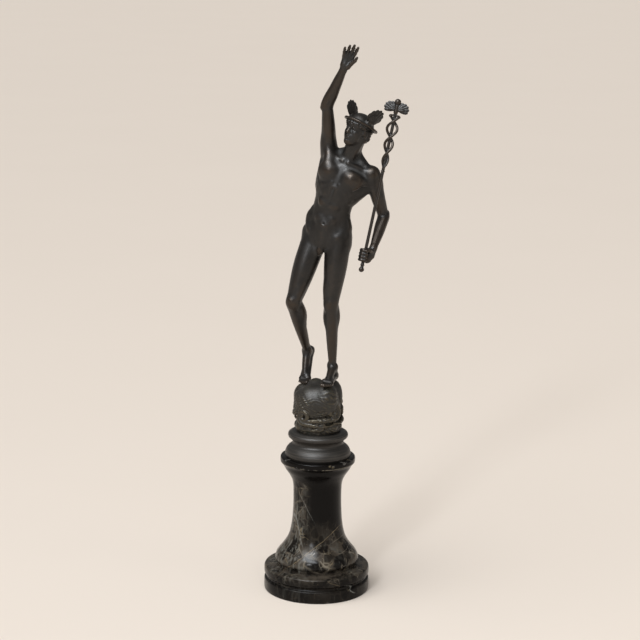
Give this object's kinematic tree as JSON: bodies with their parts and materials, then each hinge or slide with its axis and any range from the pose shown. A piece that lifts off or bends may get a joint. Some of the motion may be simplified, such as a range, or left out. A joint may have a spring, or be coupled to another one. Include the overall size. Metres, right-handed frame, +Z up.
{
  "type": "bronze statuette on a marble column",
  "caption": "Bronze statuette of a youth in a winged hat, one arm raised and a snake-wound staff in the other hand, on a cloud mound and a turned marble column.",
  "frame": {"origin": "centre of the marble foot's underside", "axes": "+Z up along the column, -Y the front, +X to the right of someone who faces the front"},
  "size_m": [0.1052, 0.082, 0.4244],
  "materials": {
    "marble": "polished black marble with cream, grey and ochre veins",
    "collar_bronze": "turned bronze, dark greenish grey satin patina",
    "mound_bronze": "cast bronze, dark patina with olive brown dirt in the hollows",
    "figure_bronze": "cast bronze, very dark brown patina, half gloss, rubbed warmer on the high places"
  },
  "bodies": {
    "root": {"marble_foot": "marble", "marble_column": "marble", "bronze_collar": "collar_bronze", "cloud_mound": "mound_bronze", "mercury_figure": "figure_bronze", "staff": "figure_bronze"}
  },
  "joints": []
}
